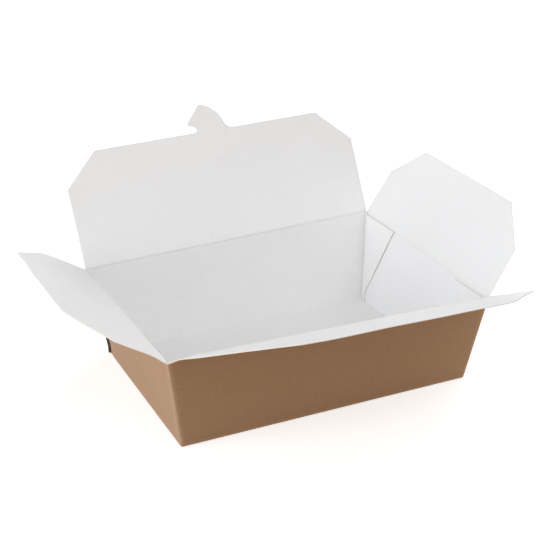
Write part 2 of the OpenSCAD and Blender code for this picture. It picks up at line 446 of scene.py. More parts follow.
# %% The columns of a corner and of a wall
def corner_columns(k, row):
    """The columns round corner k, scuffed where the board is bent, and darkened with painted shade in the
    sprung corner's groove.
    """
    (a, _, a_z), (b, _, b_z) = row[0], row[-1]
    flat_a, flat_b = np.array(wall_flat((k - 1) % 4, a, a_z)), np.array(wall_flat(k, b, b_z))
    for i, (point, kind, z) in enumerate(row):
        worn_and_shaded = 1.0 if kind != "web" else 0.15
        # In the sprung corner a negative value is painted shade: a dark colour where the crevice lies in
        # shade.
        if CORNERS[k] == SPRUNG:
            n = i if kind == "turn" else i - (len(row) - FOLD_STEPS - 1)
            worn_and_shaded = min(worn_and_shaded, painted_groove_shade(n, kind, z) or worn_and_shaded)
        flat = flat_a + (flat_b - flat_a) * (i / (len(row) - 1))
        yield point + np.array([0, 0, tip_dip(point)]), kind, flat, worn_and_shaded, z


def wall_columns(k, start, end):
    """The columns of wall k between the corners beside it, where the board is slightly wavy."""
    (a, _, a_z), (b, _, b_z) = start, end
    shift_a, shift_b = spring(CORNERS[k], a_z)[k % 2], spring(CORNERS[(k + 1) % 4], b_z)[k % 2]
    length = np.linalg.norm(b - a)
    for s in ((PLACES[k] + 1) / 2)[1:-1]:
        p, z = (a - shift_a) * (1 - s) + (b - shift_b) * s, a_z * (1 - s) + b_z * s
        p = (p + shift_a * math.exp(-(s * length / SPRING_REACH) ** 2)
             + shift_b * math.exp(-((1 - s) * length / SPRING_REACH) ** 2))
        window = math.sin(math.pi * s) * math.sin(math.pi * min(max(z / 60, 0), 1))
        p = p + OUTWARD[k] * WALL_WAVE * window * ripple(s * 3, z / 30, k + 1)
        p = p + np.array([0, 0, tip_dip(p)])
        yield p, "wall%d" % k, wall_flat(k, p, z), math.exp(-(min(s, 1 - s) * length / 1.3) ** 2), z


print("a wall has", len(list(wall_columns(1, corner_row(1, lambda c, kind: 30)[-1],
                                           corner_row(2, lambda c, kind: 30)[0]))), "columns of its own")


# %% One row of the tray's sheet
def ring_row(height_of):
    """All columns of one row round the tray; height_of(corner, kind) gives the heights at a corner."""
    corners = [corner_row(k, height_of) for k in range(4)]
    columns = []
    for k, row in enumerate(corners):
        columns += corner_columns(k, row)
        columns += wall_columns(k, row[-1], corners[(k + 1) % 4][0])
    return columns


print("columns round the tray:", len(ring_row(lambda c, kind: 30)))

# %% The base
FOLD_START, BASE_IN, BASE_BOW, ARC_STEPS = 1.0, 1.02, 0.35, 5


def lay_base(net, ring):
    """The base, bowed a little, and the number of its border point under each column of the ring."""
    xs, ys = (np.concatenate([[-size / 2 + BASE_IN], [p[axis] for p, kind, *_ in ring if kind == wall],
                              [size / 2 - BASE_IN]])
              for axis, size, wall in ((0, BASE_L, "wall0"), (1, BASE_W, "wall1")))

    def add(x, y):
        bow = BASE_BOW * (1 - (2 * x / BASE_L) ** 2) * (1 - (2 * y / BASE_W) ** 2)
        near = min(BASE_L / 2 - abs(x), BASE_W / 2 - abs(y))
        return net.add((x, y, HALF + bow), (x, y), math.exp(-((near - 0.6) / 0.9) ** 2))

    base = [[add(x, y) for y in ys] for x in xs]
    for low, high in zip(base, base[1:]):
        for corners in zip(low, low[1:], high[1:], high):
            net.face(*corners)
    corner_points = [base[0][0], base[-1][0], base[-1][-1], base[0][-1]]
    sides = [iter([column[0] for column in base[1:]]), iter(base[-1][1:]),
             iter([column[-1] for column in base[-2::-1]]), iter(base[0][-2::-1])]
    border, k = [], 0
    for _, kind, *_ in ring:
        if kind.startswith("wall"):
            k = int(kind[4]) + 1
            border.append(next(sides[k - 1]))
        else:
            border.append(-1 if kind == "web" else corner_points[k])
    return border


print("the base is bowed by", BASE_BOW, "mm")


# %% The rounded crease round the base
def foot_row(net, ring, border, part):
    """One row on the round of the crease, part of the way from the base to the walls."""
    a = math.pi / 2 * (1 - part)
    row = []
    for (p, kind, flat, *_), v in zip(ring, border):
        if kind == "web":
            row.append(-1)
            continue
        q, back = net.points[v], np.array(net.flat[v])
        place = (q[0] + (p[0] - q[0]) * math.cos(a), q[1] + (p[1] - q[1]) * math.cos(a),
                 FOLD_START - (FOLD_START - HALF) * math.sin(a))
        row.append(net.add(place, back + (np.array(flat) - back) * part, 1.0))
    return row


print("the walls start", FOLD_START, "mm over the table")

# %% Rows up the walls
SEAM, RIM_GAP = 1.3, 0.35
WALL_SHARES = np.concatenate([[0, 0.012, 0.03, 0.055], np.linspace(0.085, 0.97, 26), [1.0]])


def seam_height(c, kind, share):
    top = rim_z(c) - SEAM - (END_DROP if kind == "fold" else 0)
    return web_top(c) + (top - web_top(c)) * share


def lay_row(net, height_of, skipped=(), seam=False):
    """One row of the ring as points of the net, with -1 where a kind of column is skipped."""
    row = []
    for p, kind, flat, scuff, z in ring_row(height_of):
        if kind[:4] in skipped:
            row.append(-1)
            continue
        # A negative value is painted shade from a corner's groove and is kept; otherwise the foot of the wall
        # is scuffed.
        worn_and_shaded = scuff if scuff < 0 else max(scuff, math.exp(-((z - 0.8) / 0.9) ** 2))
        row.append(net.add(p, flat, worn_and_shaded, seam and kind.startswith("wall"), kind == "web"))
    return row


print("rows up a wall:", len(WALL_SHARES))


# %% The tray as one net
def tray_net():
    """The tray's net, and for each wall the points and flat places of the seam where its flap goes on."""
    net = Net()
    ring = ring_row(lambda c, kind: FOLD_START)
    border = lay_base(net, ring)
    rows = [border] + [foot_row(net, ring, border, step / ARC_STEPS) for step in range(1, ARC_STEPS)]
    for share in WALL_SHARES:
        rows.append(lay_row(net, lambda c, kind: FOLD_START + (web_top(c) - FOLD_START) * share))
    for share in (0.5, 1.0):
        rows.append(lay_row(net, lambda c, kind: seam_height(c, kind, share), ("web",), share == 1))
    seam_row = rows[-1]
    for lift in (0.6, 1.0):
        rows.append(lay_row(net, lambda c, kind: seam_height(c, kind, 1) + (SEAM - RIM_GAP) * lift,
                            ("web", "wall")))
    # Faces between the rows; only the lowest rows bridge the gap where a web has no point
    for r, (low, high) in enumerate(zip(rows, rows[1:])):
        columns = [i for i in range(len(ring)) if low[i] >= 0 and high[i] >= 0]
        for a, b in zip(columns, columns[1:] + columns[:1]):
            if (b - a) % len(ring) == 1 or r < ARC_STEPS:
                net.face(low[a], low[b], high[b], high[a])
    # A wall's first and last column are the ends of the two corner paths beside it
    wall_seams = []
    for k in range(4):
        inner = [i for i, (_, kind, *_) in enumerate(ring) if kind == "wall%d" % k]
        numbers = [seam_row[i % len(ring)] for i in [inner[0] - 1] + inner + [inner[-1] + 1]]
        net.seam[numbers[0]] = net.seam[numbers[-1]] = True
        wall_seams.append(([net.points[v] for v in numbers], [net.flat[v] for v in numbers]))
    return net, wall_seams


tray_sheet, seams = tray_net()
tray_board = make_board("tray_board", tray_sheet)

# %% [markdown]
# ## The flaps and their creases
# A flap is not hinged on a pin. It is the same sheet, bent along a pressed crease, so each flap piece starts
# on the wall, a little under the rim, and goes round the crease into the flap. That strip of wall belongs
# with the tray and the rest with the flap, though here the flap's board is not set to follow the flap. The
# crease is an arc with the hinge line as its centre: the kraft side is nearly sharp, and the white side is
# stretched round it.

# %% Where each flap stands
WALL_OF = {"front_flap": 0, "right_flap": 1, "back_lid": 2, "left_flap": 3}
RAISE = {"front_flap": 24.4, "right_flap": 56.0, "back_lid": 64.5, "left_flap": 31.0}
FILLET = 0.14


def flap_axes(name):
    """The hinge point, the direction along the crease, out along the flap, and off its white face."""
    pivot = np.array(hinges[name]["pos_m"]) / MM
    along = unit(np.array(hinges[name]["axis"], float))
    level = OUTWARD[WALL_OF[name]].astype(float)
    up = np.cross(along, level)
    a = math.radians(RAISE[name])
    return pivot, along, math.cos(a) * level + math.sin(a) * up, -math.sin(a) * level + math.cos(a) * up


def wall_axes(name, point):
    """The way from the crease down the wall's kraft face to a seam point, and the way off its white face."""
    pivot, along, _, _ = flap_axes(name)
    inward = -OUTWARD[WALL_OF[name]].astype(float)
    d = point - pivot
    d = d - along * (d @ along)
    angle = math.atan2(HALF, math.sqrt(max(d @ d - HALF ** 2, 0.01)))
    ways = [unit(d) * math.cos(angle) + turn * np.cross(along, unit(d)) * math.sin(angle) for turn in (1, -1)]
    down = min(ways, key=lambda way: way @ inward)
    side = np.cross(along, down)
    return down, side if side @ inward > 0 else -side


print("flaps raised over level, in degrees:", RAISE)

# %% The crease of a flap
DOWN_STEPS, BEND_STEPS = (0.75, 0.3), 6


def crease_rows(net, name, columns, half_crease):
    """Rows from the seam up the wall and round the crease: an arc with the hinge line as its centre."""
    pivot, along, _, face_up = flap_axes(name)
    points, flat = (values[::-1] for values in seams[WALL_OF[name]])
    walls = [wall_axes(name, p) for p in points]
    bends = [math.acos(min(max(side @ face_up, -1), 1)) for _, side in walls]
    rows = [[net.add(p, f, 0.3, True) for p, f in zip(points, flat)]]

    def lay(place, travelled, scuff):
        row, part = [], smooth_step(travelled / SEAM)
        for i, s in enumerate(columns):
            x_seam = (points[i] - pivot) @ along
            point = pivot + along * (x_seam + (s * half_crease - x_seam) * part) + place(*walls[i], bends[i])
            dip = tip_dip(point)
            row.append(net.add(point + np.array([0, 0, dip]),
                               flat[i] + OUTWARD[WALL_OF[name]][:2] * travelled, max(scuff, min(-dip, 1))))
        rows.append(row)

    def on_arc(side, bend, t):
        centre = -unit(side + face_up) * FILLET / math.cos(bend / 2)
        return centre + unit(side * math.sin((1 - t) * bend) + face_up * math.sin(t * bend)) * (FILLET + HALF)

    for by in DOWN_STEPS:
        lay(lambda down, side, bend: down * (FILLET * math.tan(bend / 2) + by) + side * HALF, SEAM - by, 0.6)
    for step in range(BEND_STEPS + 1):
        lay(lambda down, side, bend: on_arc(side, bend, step / BEND_STEPS), SEAM + 0.1 * step, 1.0)
    return rows


print("a crease has", 1 + len(DOWN_STEPS) + BEND_STEPS + 1, "rows")

# %% A flap's net from its outline
ROW_STEP = 3.4


def row_places(shape, extra=()):
    """Distances of the rows from the crease, close where it ends and where the outline turns."""
    side, depth = shape.side, shape.depth
    first = list(np.linspace(4, side, max(3, round((side - 4) / ROW_STEP))))
    second = list(np.linspace(side, depth, max(3, round((depth - side) / ROW_STEP)))[1:])
    close = [0.45, 0.8, 1.4, 2.4, side - 0.5, side + 0.5, depth - 0.5, *extra]
    return sorted(set(round(y, 4) for y in first + second + close))


def flap_net(name, columns, shape, lift, hole=lambda x, y: False, extra=()):
    """A flap's net: columns from -1 to 1, lift its height over flat, hole where it has no faces."""
    net = Net()
    pivot, along, out, face_up = flap_axes(name)
    way = OUTWARD[WALL_OF[name]][:2]
    sideways = np.sign(along[:2]) * (1 - abs(way))
    half_crease, flat_in = half_at(shape, 0), np.array(seams[WALL_OF[name]][1][::-1])
    rows, places = crease_rows(net, name, columns, half_crease), row_places(shape, extra)
    middles = [0] * len(rows) + [(a + b) / 2 for a, b in zip(places, places[1:])]
    for y in places:
        row = []
        for i, s in enumerate(columns):
            x = s * half_at(shape, y)
            # Worn on the crease, at the outline's corners, and where the corner of the rim is pressed down
            near_corner = max(math.exp(-((x - a) ** 2 + (y - b) ** 2) / 16) for a, b in corners_of(shape))
            point = pivot + along * x + out * y + face_up * (HALF + lift(x, y))
            dip = tip_dip(point)
            worn_and_shaded = max(math.exp(-(y / 1.2) ** 2), 0.8 * near_corner, min(-dip, 1) * math.exp(-y / 3))
            flat = flat_in[i] + way * (SEAM + y) + sideways * (x - s * half_crease)
            row.append(net.add(point + np.array([0, 0, dip]), flat, worn_and_shaded))
        rows.append(row)
    # The kraft side lies under the flap, so the net turns the other way from below
    for y, low, high in zip(middles, rows, rows[1:]):
        for i in range(len(columns) - 1):
            if not hole((columns[i] + columns[i + 1]) / 2 * half_at(shape, y), y):
                net.face(low[i], high[i], high[i + 1], low[i + 1])
    return net, rows


print("rows of an end flap:", len(row_places(end_shape)))

# %% [markdown]
# ## The front flap
# The deepest flap takes the hook in a slit, a narrow die cut near its free edge. The flap has been bent
# up and down, so its two ends curl a little. The curl is a fourth power of the place along the crease,
# which leaves the middle flat. The slit is a row of faces left out, so it gets its own cut edge.

# %% The front flap, curled at its two ends, with the slit
CURL, SLIT_HALF = 2.8, 0.4
slit_a, slit_b = -SLIT_B * half_at(front_shape, SLIT_Y), -HOOK_A * half_at(front_shape, SLIT_Y)


def front_lift(x, y):
    wave = 0.25 * ripple(x / 40, y / 30, 5) * smooth_step(y / 12)
    return CURL * (abs(2 * x / RIM_L)) ** 4 * y / front_shape.depth + wave


def in_slit(x, y):
    return abs(y - SLIT_Y) < SLIT_HALF and slit_a < x < slit_b


front_net, _ = flap_net("front_flap", -LONG_COLUMNS[::-1], front_shape, front_lift, in_slit,
                        (SLIT_Y - SLIT_HALF, SLIT_Y + SLIT_HALF))
front_flap_board = make_board("front_flap_board", front_net)

# %% [markdown]
# ## The two end flaps
# They are the same cut, mirrored by the fold, and each has its own slow wave and stands a little proud
# of its straight line, because a creased board springs back unevenly. One shape and two lifts are enough.

# %% The two end flaps
def end_lift(rise, seed):
    return lambda x, y: rise * y + 0.3 * ripple(x / 30, y / 20, seed) * smooth_step(y / 10)


left_net, _ = flap_net("left_flap", END_COLUMNS, end_shape, end_lift(0.013, 2))
left_flap_board = make_board("left_flap_board", left_net)
right_net, _ = flap_net("right_flap", END_COLUMNS, end_shape, end_lift(0.02, 4))
right_flap_board = make_board("right_flap_board", right_net)

# %% [markdown]
# ## The lid and its hook
# The hook is cut with the lid from the same sheet. Its outline is a chain of arcs that touch: a wide
# concave root, a long curved back, a small round peak, a straight slanted front, a round barb and a
# notch. A filled curve would be quick to draw, but it would only lie against the lid. At every height
# the hook has one left and one right edge, so it is a patch of rows on top of the lid's last row, and
# the two share their points.

# %% The hook's two edges at a height over the lid's free edge
HOOK_REACH, TIP_R, NOTCH_R, ROOT_R, HOOK_R = 19.4, 1.1, 2.0, 6.5, 21.8
PEAK, TIP, NOTCH, BACK, ROOT = (-3, 18.3), (-13.4, 6.6), (-10.5, 2), (-8.01, -1.785), (19.05, 6.5)
slant = math.atan2(PEAK[1] - TIP[1], PEAK[0] - TIP[0]) + math.pi / 2
under = (math.atan2(NOTCH[1] - TIP[1], NOTCH[0] - TIP[0])
         + math.asin((TIP_R + NOTCH_R) / math.hypot(NOTCH[0] - TIP[0], NOTCH[1] - TIP[1])))
join = math.atan2(ROOT[1] - BACK[1], ROOT[0] - BACK[0])


def on_circle(c, r, a):
    return (c[0] + r * math.cos(a), c[1] + r * math.sin(a))


def between(low, high, y):
    return low[0] + (high[0] - low[0]) * (y - low[1]) / (high[1] - low[1])


notch_end = on_circle(NOTCH, NOTCH_R, under + math.pi / 2)
tip_low, tip_high = on_circle(TIP, TIP_R, under + 1.5 * math.pi), on_circle(TIP, TIP_R, slant)
peak_low, back_end = on_circle(PEAK, TIP_R, slant), on_circle(BACK, HOOK_R, math.radians(76))
root_end = on_circle(ROOT, ROOT_R, math.pi + join)


def hook_left(y):
    if y <= notch_end[1]:
        return NOTCH[0] + math.sqrt(max(NOTCH_R ** 2 - (y - NOTCH[1]) ** 2, 0))
    if y <= tip_low[1]:
        return between(notch_end, tip_low, y)
    if y <= tip_high[1]:
        return TIP[0] - math.sqrt(max(TIP_R ** 2 - (y - TIP[1]) ** 2, 0))
    if y <= peak_low[1]:
        return between(tip_high, peak_low, y)
    return PEAK[0] - math.sqrt(max(TIP_R ** 2 - (y - PEAK[1]) ** 2, 0))


def hook_right(y):
    if y <= root_end[1]:
        return ROOT[0] - math.sqrt(max(ROOT_R ** 2 - (y - ROOT[1]) ** 2, 0))
    if y <= back_end[1]:
        return BACK[0] + math.sqrt(max(HOOK_R ** 2 - (y - BACK[1]) ** 2, 0))
    return PEAK[0] + math.sqrt(max(TIP_R ** 2 - (y - PEAK[1]) ** 2, 0))


print("hook: notch ends at", [round(v, 2) for v in notch_end], "barb from", [round(v, 2) for v in tip_low],
      "to", [round(v, 2) for v in tip_high])

# %% The rows of the hook
HOOK_CURL = 0.003


def lid_lift(x, y):
    return 0.3 * ripple(x / 45, y / 30, 7) * smooth_step(y / 12)


def hook_heights():
    """Rows close together where the outline turns."""
    notch = [NOTCH[1] + NOTCH_R * math.sin(a) for a in np.linspace(-math.pi / 2, under + math.pi / 2, 13)[1:]]
    barb = [TIP[1] - TIP_R * math.cos(a) for a in np.linspace(0, math.pi, 9)]
    peak = [PEAK[1] + TIP_R * math.sin(a) for a in np.linspace(-0.6, math.pi / 2, 9)]
    joints = [tip_low[1], tip_high[1], peak_low[1], back_end[1]]
    kept = []
    for y in sorted(y for y in notch + barb + peak + list(np.linspace(7.8, 17.6, 9)) + joints if y > 0.02):
        if not kept or y - kept[-1] > 0.03:
            kept.append(y)
    return [y for y in kept if y < HOOK_REACH - 0.01] + [HOOK_REACH - 0.004]


print("rows of the hook:", len(hook_heights()))


# %% The lid with the hook on its last row
def add_hook(net, grid):
    """The hook as rows on top of the lid's last row, with which it shares its points."""
    pivot, along, out, face_up = flap_axes("back_lid")
    first, last = (int(np.argmin(abs(LONG_COLUMNS - end))) for end in (HOOK_A, HOOK_B))
    rows = [grid[-1][first:last + 1]]
    shares = [(net.points[v] - net.points[rows[0][0]]) @ along / (ROOT_X - NOTCH_X) for v in rows[0]]
    edge_flat = net.flat[grid[-1][len(LONG_COLUMNS) // 2]][1]
    for y in hook_heights():
        left, right = hook_left(y), hook_right(y)
        row = []
        for share in shares:
            x = left + (right - left) * share
            height = HALF + lid_lift(x, lid_shape.depth + y) + HOOK_CURL * y * y / 2
            point = pivot + along * x + out * (lid_shape.depth + y) + face_up * height
            worn_and_shaded = max(0.7 * math.exp(-((x - a) ** 2 + (y - b) ** 2) / 5) for a, b in (TIP, PEAK))
            row.append(net.add(point, (x, edge_flat + y), worn_and_shaded))
        rows.append(row)
    for low, high in zip(rows, rows[1:]):
        for a, b, c, d in zip(low, low[1:], high[1:], high):
            net.face(a, d, c, b)


lid_net, lid_grid = flap_net("back_lid", LONG_COLUMNS, lid_shape, lid_lift)
add_hook(lid_net, lid_grid)
lid_board = make_board("lid_board", lid_net)

# %% [markdown]
# ## Paper and board
# The board has three finishes: brown kraft outside, a white coating inside, and the cut edge between.
# All patterns read the sheet attribute, which is each point's place in the flat sheet in real metres, so
# they run on over the folds and stay with the board when a flap swings. Small helpers keep each finish
# short: one turns a hex colour linear, one adds a node, and one lays colours over each other.

# %% Colour and node helpers
def linear(hex_colour):
    """An sRGB hex value as linear red, green, blue and alpha."""
    values = [int(hex_colour[i:i + 2], 16) / 255 for i in (1, 3, 5)]
    return tuple(v / 12.92 if v <= 0.04045 else ((v + 0.055) / 1.055) ** 2.4 for v in values) + (1.0,)


def add_node(tree, kind, settings=None, **links):
    """One node with its settings (properties, socket values, a ramp's stops) and its links."""
    node = tree.nodes.new(kind)
    for key, value in (settings or {}).items():
        if key == "stops":
            elements = node.color_ramp.elements
            while len(elements) < len(value):
                elements.new(0.5)
            for element, (place, tone) in zip(elements, value):
                element.position = place
                element.color = linear(tone) if isinstance(tone, str) else (tone, tone, tone, 1)
        elif isinstance(key, int) or key in node.inputs:
            node.inputs[key].default_value = value
        else:
            setattr(node, key, value)
    for key, source in links.items():
        numbered = key[0] == "i" and key[1:].isdigit()
        tree.links.new(source, node.inputs[int(key[1:]) if numbered else key.replace("_", " ")])
    return node


def new_material(name):
    material = bpy.data.materials.new(name)
    material.use_nodes = True
    material.node_tree.nodes.clear()
    return material, material.node_tree


def add_shader(tree, settings, **links):
    """The one shader of a material; its uniform values sit on its own sockets."""
    shader = add_node(tree, "ShaderNodeBsdfPrincipled", settings, **links)
    add_node(tree, "ShaderNodeOutputMaterial", Surface=shader.outputs[0])


def lay_over(tree, tone, layers):
    """Colours laid over a tone one after another, each through a pattern and the stops that cut it."""
    for pattern, stops, colour in layers:
        part = add_node(tree, "ShaderNodeValToRGB", {"stops": stops}, i0=pattern)
        layer = {"data_type": "RGBA", 7: linear(colour)}
        tone = add_node(tree, "ShaderNodeMix", layer, i0=part.outputs[0], i6=tone).outputs[2]
    return tone


print("the liner's white in linear values:", [round(v, 3) for v in linear("#F3F3F4")[:3]])

# %% [markdown]
# ## Brown kraft outside
# Kraft linerboard is unbleached long fibre pressed on a wire, so it is brown and cloudy, with fine darker
# and paler fibres that lie mostly one way, and it has a low dull sheen. A picture of paper would repeat
# and break at the folds. Here each thing that the eye sees, the clouds, flocks, fibres and specks, is a
# noise at its real size, cut by a ramp and laid over the last.

# %% Kraft liner
def kraft_liner():
    # Unbleached kraft: a warm brown of one tone, made lively by cloudy formation and single fibres.
    material, tree = new_material("kraft_linerboard")
    sheet = add_node(tree, "ShaderNodeAttribute", {"attribute_name": "sheet"}).outputs["Vector"]
    scuff = add_node(tree, "ShaderNodeAttribute", {"attribute_name": "scuff"}).outputs["Fac"]
    # Clouds of the pulp, 22 mm wide, flocks of 2.5 mm, specks of 1 mm, and the sheet's waves of 17 mm.
    clouds, flocks, specks, waves = (
        add_node(tree, "ShaderNodeTexNoise", {"Scale": scale, "Detail": detail, "Roughness": rough},
                 Vector=sheet).outputs[0]
        for scale, detail, rough in ((45.0, 4.0, 0.55), (420.0, 3.0, 0.6), (900.0, 1.0, 0.5),
                                     (60.0, 2.0, 0.5)))
    # Fibres 0.4 mm wide and 3 mm long, along the sheet. Real ones are 0.05 mm wide, drawn coarser to show.
    along = add_node(tree, "ShaderNodeMapping", {"Scale": (330.0, 2300.0, 2300.0)}, Vector=sheet)
    fibres = add_node(tree, "ShaderNodeTexNoise",
                      {"Scale": 1.0, "Detail": 3.0, "Roughness": 0.7, "Distortion": 0.6},
                      Vector=along.outputs[0]).outputs[0]
    pulp = add_node(tree, "ShaderNodeMix", {"data_type": "RGBA", 6: linear("#9F8062"), 7: linear("#AA8B6D")},
                    i0=clouds)
    tone = lay_over(tree, pulp.outputs[2], [(flocks, [(0.35, 0.0), (0.65, 1.0)], "#A58465"),
                                            (fibres, [(0.46, 0.0), (0.74, 0.5)], "#B69677"),
                                            (fibres, [(0.22, 0.45), (0.44, 0.0)], "#826446"),
                                            (specks, [(0.70, 0.0), (0.78, 0.55)], "#6A4D34")])
    # Where the board is folded, the fibres lift and the paper goes pale. Where the value is negative, in the
    # sprung corner's groove, a dark brown is laid on as painted shade for its deep crevice.
    tufts = add_node(tree, "ShaderNodeMapRange", {1: 0.3, 2: 0.7, 3: 0.25, 4: 0.85}, i0=flocks)
    lifted = add_node(tree, "ShaderNodeMath", {"operation": "MULTIPLY"}, i0=scuff, i1=tufts.outputs[0])
    painted_shade_part = add_node(tree, "ShaderNodeMath", {"operation": "MULTIPLY", 1: -1.0}, i0=scuff)
    tone = lay_over(tree, tone, [(lifted.outputs[0], [(0.0, 0.0), (1.0, 1.0)], "#BFA185"),
                                 (painted_shade_part.outputs[0], [(0.0, 0.0), (1.0, 0.96)], "#352315")])
    rough = add_node(tree, "ShaderNodeMapRange", {3: 0.52, 4: 0.72}, i0=flocks)
    height = add_node(tree, "ShaderNodeMath", {"operation": "ADD"}, i0=fibres, i1=flocks)
    bump = add_node(tree, "ShaderNodeBump", {"Strength": 0.35, "Distance": 0.00012}, Height=height.outputs[0])
    soft = add_node(tree, "ShaderNodeBump", {"Strength": 0.25, "Distance": 0.0006}, Height=waves,
                    Normal=bump.outputs[0])
    add_shader(tree, {"IOR": 1.45, "Specular IOR Level": 0.32, "Sheen Weight": 0.08, "Sheen Roughness": 0.5},
               Base_Color=tone, Roughness=rough.outputs[0], Normal=soft.outputs[0])
    return material


papers = [kraft_liner()]
print(papers[-1].name, len(papers[-1].node_tree.nodes), "nodes")

# %% [markdown]
# ## White inside
# The inner side is a clay coated liner: smooth, almost even and white, with a soft gloss. It is built of the
# same layers as the kraft, but so faint that little more than the light shows them. On a crease the coating
# cracks, so there the wear value that the board carries uncovers a little of the grey ply.

# %% White coated liner
def white_liner():
    # Clay coated bleached liner: an even white, soft gloss, fine orange peel from the coating.
    material, tree = new_material("white_coated_liner")
    sheet = add_node(tree, "ShaderNodeAttribute", {"attribute_name": "sheet"}).outputs["Vector"]
    scuff = add_node(tree, "ShaderNodeAttribute", {"attribute_name": "scuff"}).outputs["Fac"]
    # Clouds 26 mm wide, grain of 0.9 mm, which is drawn coarser than real to show, and waves of 24 mm.
    clouds, grain, waves = (
        add_node(tree, "ShaderNodeTexNoise", {"Scale": scale, "Detail": detail, "Roughness": rough},
                 Vector=sheet).outputs[0]
        for scale, detail, rough in ((38.0, 4.0, 0.6), (1100.0, 2.0, 0.5), (42.0, 2.0, 0.5)))
    # Fibres 0.6 mm wide and 4 mm long show through the coating, drawn coarser than real too.
    along = add_node(tree, "ShaderNodeMapping", {"Scale": (250.0, 1700.0, 1700.0)}, Vector=sheet)
    fibres = add_node(tree, "ShaderNodeTexNoise", {"Scale": 1.0, "Detail": 2.0, "Roughness": 0.6},
                      Vector=along.outputs[0])
    coat = add_node(tree, "ShaderNodeMix", {"data_type": "RGBA", 6: linear("#EEEEEF"), 7: linear("#F3F3F4")},
                    i0=clouds)
    # On a crease the coating cracks finely and the grey ply shows a little.
    crazed = add_node(tree, "ShaderNodeMapRange", {1: 0.4, 2: 0.62, 3: 0.02, 4: 0.16}, i0=grain)
    cracked = add_node(tree, "ShaderNodeMath", {"operation": "MULTIPLY"}, i0=scuff, i1=crazed.outputs[0])
    tone = lay_over(tree, coat.outputs[2], [
        (fibres.outputs[0], [(0.28, 0.5), (0.5, 0.0)], "#E8E7E6"),
        (grain, [(0.66, 0.0), (0.8, 0.35)], "#DEDCD8"),
        (cracked.outputs[0], [(0.0, 0.0), (1.0, 1.0)], "#D9D5CE")])
    rough = add_node(tree, "ShaderNodeMapRange", {3: 0.38, 4: 0.52}, i0=clouds)
    fine = add_node(tree, "ShaderNodeBump", {"Strength": 0.18, "Distance": 0.00008}, Height=grain)
    soft = add_node(tree, "ShaderNodeBump", {"Strength": 0.2, "Distance": 0.0007}, Height=waves,
                    Normal=fine.outputs[0])
    add_shader(tree, {"IOR": 1.5, "Specular IOR Level": 0.4},
               Base_Color=tone, Roughness=rough.outputs[0], Normal=soft.outputs[0])
    return material


papers.append(white_liner())
print(papers[-1].name, len(papers[-1].node_tree.nodes), "nodes")

# %% [markdown]
# ## The cut edge
# A die shears the board, so its edge shows the plies. The ply attribute runs from 0 on the kraft side to
# 1 on the white side, and a ramp gives each depth its colour. A fine noise makes the loose fibre fuzzy,
# which a plain stripe would lack.

# %% Cut edge
def cut_edge():
    # The sheared plies: a thin line of kraft brown, then pale loose fibre, and coating white behind.
    material, tree = new_material("cut_board_edge")
    ply = add_node(tree, "ShaderNodeAttribute", {"attribute_name": "ply"}).outputs["Fac"]
    sheet = add_node(tree, "ShaderNodeAttribute", {"attribute_name": "sheet"}).outputs["Vector"]
    # Fuzz of 0.7 mm, coarser than the real fibre, so that it shows.
    fuzz = add_node(tree, "ShaderNodeTexNoise", {"Scale": 1500.0, "Detail": 3.0, "Roughness": 0.7},
                    Vector=sheet)
    plies = add_node(tree, "ShaderNodeValToRGB", {"stops": [
        (0.0, "#BFA98F"), (0.1, "#DDD4C6"), (0.4, "#E6E1D9"), (0.8, "#ECEAE6"), (1.0, "#EEEEEF")]}, i0=ply)
    tone = lay_over(tree, plies.outputs[0], [(fuzz.outputs[0], [(0.3, 0.25), (0.52, 0.0)], "#CDBDA8")])
    bump = add_node(tree, "ShaderNodeBump", {"Strength": 0.6, "Distance": 0.00015}, Height=fuzz.outputs[0])
    add_shader(tree, {"Roughness": 0.85, "Specular IOR Level": 0.2}, Base_Color=tone, Normal=bump.outputs[0])
    return material


papers.append(cut_edge())
boards = {"tray": tray_board, "back_lid": lid_board, "front_flap": front_flap_board,
          "left_flap": left_flap_board, "right_flap": right_flap_board}
for board in boards.values():
    for paper in papers:
        board.data.materials.append(paper)
print("papers:", [p.name for p in papers])

# %% [markdown]
# ## Torn nicks along the cut
# The cutting rule of a die is notched every few centimetres, so that the blank stays in its sheet until
# it is stripped out. Each nick then tears and leaves a small tuft of pulp on the edge. They follow the
# outline and repeat, so they suit Geometry Nodes: the free border of each flap becomes a curve, points
# are set along it, and a crumpled tuft is laid at most of them, turned to the board's edge. The pulp is
# bare, so it gets a finish of its own, matt and uneven.

# %% Torn fibre
def torn_fibre():
    # Pulled out pulp of the middle ply: matt, pale and uneven, a little warmer than the coating.
    material, tree = new_material("torn_ply_fibre")
    place = add_node(tree, "ShaderNodeTexCoord").outputs["Object"]
    # Fluff of 0.4 mm, about as wide as a tuft is high.
    fluff = add_node(tree, "ShaderNodeTexNoise", {"Scale": 2600.0, "Detail": 3.0, "Roughness": 0.7},
                     Vector=place)
    tone = add_node(tree, "ShaderNodeValToRGB", {"stops": [(0.35, "#D6CBBB"), (0.65, "#ECE8E1")]},
                    i0=fluff.outputs[0])
    bump = add_node(tree, "ShaderNodeBump", {"Strength": 0.7, "Distance": 0.00012}, Height=fluff.outputs[0])
    add_shader(tree, {"Roughness": 0.95, "Specular IOR Level": 0.1},
               Base_Color=tone.outputs[0], Normal=bump.outputs[0])
    return material


torn_pulp = torn_fibre()
print(torn_pulp.name, len(torn_pulp.node_tree.nodes), "nodes")

